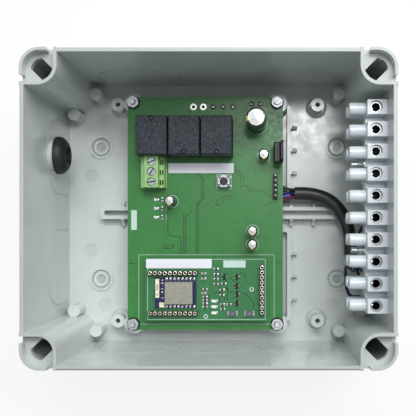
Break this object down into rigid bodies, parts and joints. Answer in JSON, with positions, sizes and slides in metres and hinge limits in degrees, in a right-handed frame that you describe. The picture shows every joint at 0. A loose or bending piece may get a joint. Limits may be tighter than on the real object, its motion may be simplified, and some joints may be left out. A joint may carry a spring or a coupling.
{
  "type": "earthquake alert receiver",
  "caption": "Wall box with its cover off: relay board, raised radio board, connector strip on the side wall, cable grommet and corner screw wells.",
  "frame": {"origin": "middle of the outer back face, which lies against the wall or on a bench", "axes": "+Z out of the open front, +X along the long side towards the connector strip, +Y up in use, towards the relays"},
  "size_m": [0.1678, 0.14, 0.072],
  "materials": {
    "grey_abs": "satin light grey moulding",
    "black_rubber": "matt black rubber",
    "green_laminate": "satin solder mask on glass laminate",
    "zinc_steel": "bright zinc plate",
    "relay_plastic": "fine spark-eroded charcoal plastic",
    "tinned_metal": "tinned sheet metal",
    "pale_green_plastic": "satin pale green moulding",
    "label_film": "bare white label film",
    "black_plastic": "satin black moulding",
    "gold_plate": "thin gold plate",
    "plated_brass": "nickel plate",
    "can_aluminium": "satin drawn aluminium",
    "sleeve_film": "shrunk black film with a yellow stripe",
    "led_resin": "clear white resin",
    "chip_ceramic": "glazed black ceramic with tinned ends",
    "tan_ceramic": "tan ceramic with tinned ends",
    "blue_laminate": "satin dark blue solder mask",
    "cream_ceramic": "glazed cream ceramic",
    "strip_polyethylene": "waxy translucent white",
    "sheath_pvc": "satin black soft plastic",
    "core_pvc": "coloured insulation"
  },
  "bodies": {
    "receiver": {"enclosure_base": "grey_abs", "cable_grommet": "black_rubber", "main_board": "green_laminate", "board_screws": "zinc_steel", "board_washers": "zinc_steel", "board_nuts": "zinc_steel", "relay_1": "relay_plastic", "relay_2": "relay_plastic", "relay_3": "relay_plastic", "relay_pins": "tinned_metal", "terminal_block": "pale_green_plastic", "board_label": "label_film", "radio_label": "label_film", "switch_body": "black_plastic", "switch_cover": "tinned_metal", "header_body": "black_plastic", "header_pins": "gold_plate", "regulator_body": "black_plastic", "regulator_tab": "tinned_metal", "capacitor_cans": "can_aluminium", "capacitor_sleeves": "sleeve_film", "status_leds": "led_resin", "chip_resistors": "chip_ceramic", "chip_capacitors": "tan_ceramic", "chip_transistors": "black_plastic", "radio_board": "green_laminate", "socket_strips": "black_plastic", "socket_contacts": "gold_plate", "module_board": "blue_laminate", "module_shield": "tinned_metal", "module_antenna": "cream_ceramic", "antenna_socket": "gold_plate", "small_switch_bodies": "tinned_metal", "strip_body": "strip_polyethylene", "strip_tubes": "plated_brass", "strip_screws_lower": "zinc_steel", "strip_bolts": "zinc_steel", "strip_nuts": "zinc_steel", "cable_sheath": "sheath_pvc", "board_wires": "core_pvc", "strip_wires": "core_pvc"},
    "switch_button": {"switch_button": "black_plastic"},
    "small_button_1": {"small_button_1": "black_plastic"},
    "small_button_2": {"small_button_2": "black_plastic"},
    "block_screw_1": {"block_screw_1": "zinc_steel"},
    "block_clamp_1": {"block_clamp_1": "tinned_metal"},
    "block_screw_2": {"block_screw_2": "zinc_steel"},
    "block_clamp_2": {"block_clamp_2": "tinned_metal"},
    "block_screw_3": {"block_screw_3": "zinc_steel"},
    "block_clamp_3": {"block_clamp_3": "tinned_metal"},
    "strip_screw_1": {"strip_screw_1": "zinc_steel"},
    "strip_screw_2": {"strip_screw_2": "zinc_steel"},
    "strip_screw_3": {"strip_screw_3": "zinc_steel"},
    "strip_screw_4": {"strip_screw_4": "zinc_steel"},
    "strip_screw_5": {"strip_screw_5": "zinc_steel"},
    "strip_screw_6": {"strip_screw_6": "zinc_steel"},
    "strip_screw_7": {"strip_screw_7": "zinc_steel"},
    "strip_screw_8": {"strip_screw_8": "zinc_steel"},
    "strip_screw_9": {"strip_screw_9": "zinc_steel"},
    "strip_screw_10": {"strip_screw_10": "zinc_steel"}
  },
  "joints": [
    {"name": "switch_button_press", "type": "slide", "parent": "receiver", "child": "switch_button", "axis": [0, 0, -1], "range_m": [0, 0.00025], "stiffness_N_per_m": 600},
    {"name": "small_button_1_press", "type": "slide", "parent": "receiver", "child": "small_button_1", "axis": [0, 0, -1], "range_m": [0, 0.00015], "stiffness_N_per_m": 600},
    {"name": "small_button_2_press", "type": "slide", "parent": "receiver", "child": "small_button_2", "axis": [0, 0, -1], "range_m": [0, 0.00015], "stiffness_N_per_m": 600},
    {"name": "block_screw_1_turn", "type": "hinge", "parent": "receiver", "child": "block_screw_1", "pos_m": [-0.0325, 0.02538, 0.0234], "axis": [0, 0, -1], "range_deg": [0, 1440]},
    {"name": "block_clamp_1_rise", "type": "slide", "parent": "receiver", "child": "block_clamp_1", "axis": [0, 0, 1], "range_m": [0, 0.002]},
    {"name": "block_screw_2_turn", "type": "hinge", "parent": "receiver", "child": "block_screw_2", "pos_m": [-0.0325, 0.0203, 0.0234], "axis": [0, 0, -1], "range_deg": [0, 1440]},
    {"name": "block_clamp_2_rise", "type": "slide", "parent": "receiver", "child": "block_clamp_2", "axis": [0, 0, 1], "range_m": [0, 0.002]},
    {"name": "block_screw_3_turn", "type": "hinge", "parent": "receiver", "child": "block_screw_3", "pos_m": [-0.0325, 0.01522, 0.0234], "axis": [0, 0, -1], "range_deg": [0, 1440]},
    {"name": "block_clamp_3_rise", "type": "slide", "parent": "receiver", "child": "block_clamp_3", "axis": [0, 0, 1], "range_m": [0, 0.002]},
    {"name": "strip_screw_1_turn", "type": "hinge", "parent": "receiver", "child": "strip_screw_1", "pos_m": [0.0707, 0.0465, 0.05355], "axis": [-1, 0, 0], "range_deg": [-2160, 720]},
    {"name": "strip_screw_2_turn", "type": "hinge", "parent": "receiver", "child": "strip_screw_2", "pos_m": [0.0707, 0.0365, 0.05355], "axis": [-1, 0, 0], "range_deg": [-2160, 720]},
    {"name": "strip_screw_3_turn", "type": "hinge", "parent": "receiver", "child": "strip_screw_3", "pos_m": [0.0707, 0.0265, 0.05355], "axis": [-1, 0, 0], "range_deg": [-2160, 720]},
    {"name": "strip_screw_4_turn", "type": "hinge", "parent": "receiver", "child": "strip_screw_4", "pos_m": [0.0707, 0.0165, 0.05355], "axis": [-1, 0, 0], "range_deg": [-2160, 720]},
    {"name": "strip_screw_5_turn", "type": "hinge", "parent": "receiver", "child": "strip_screw_5", "pos_m": [0.0707, 0.0065, 0.05355], "axis": [-1, 0, 0], "range_deg": [-2160, 720]},
    {"name": "strip_screw_6_turn", "type": "hinge", "parent": "receiver", "child": "strip_screw_6", "pos_m": [0.0707, -0.0035, 0.05355], "axis": [-1, 0, 0], "range_deg": [-2160, 720]},
    {"name": "strip_screw_7_turn", "type": "hinge", "parent": "receiver", "child": "strip_screw_7", "pos_m": [0.0707, -0.0135, 0.05355], "axis": [-1, 0, 0], "range_deg": [-2160, 720]},
    {"name": "strip_screw_8_turn", "type": "hinge", "parent": "receiver", "child": "strip_screw_8", "pos_m": [0.0707, -0.0235, 0.05355], "axis": [-1, 0, 0], "range_deg": [-2160, 720]},
    {"name": "strip_screw_9_turn", "type": "hinge", "parent": "receiver", "child": "strip_screw_9", "pos_m": [0.0707, -0.0335, 0.05355], "axis": [-1, 0, 0], "range_deg": [-2160, 720]},
    {"name": "strip_screw_10_turn", "type": "hinge", "parent": "receiver", "child": "strip_screw_10", "pos_m": [0.0707, -0.0435, 0.05355], "axis": [-1, 0, 0], "range_deg": [-2160, 720]}
  ],
  "couplings": [
    {"joint": "block_screw_1_turn", "follows": "block_clamp_1_rise", "rad_per_m": 12566},
    {"joint": "block_screw_2_turn", "follows": "block_clamp_2_rise", "rad_per_m": 12566},
    {"joint": "block_screw_3_turn", "follows": "block_clamp_3_rise", "rad_per_m": 12566}
  ]
}
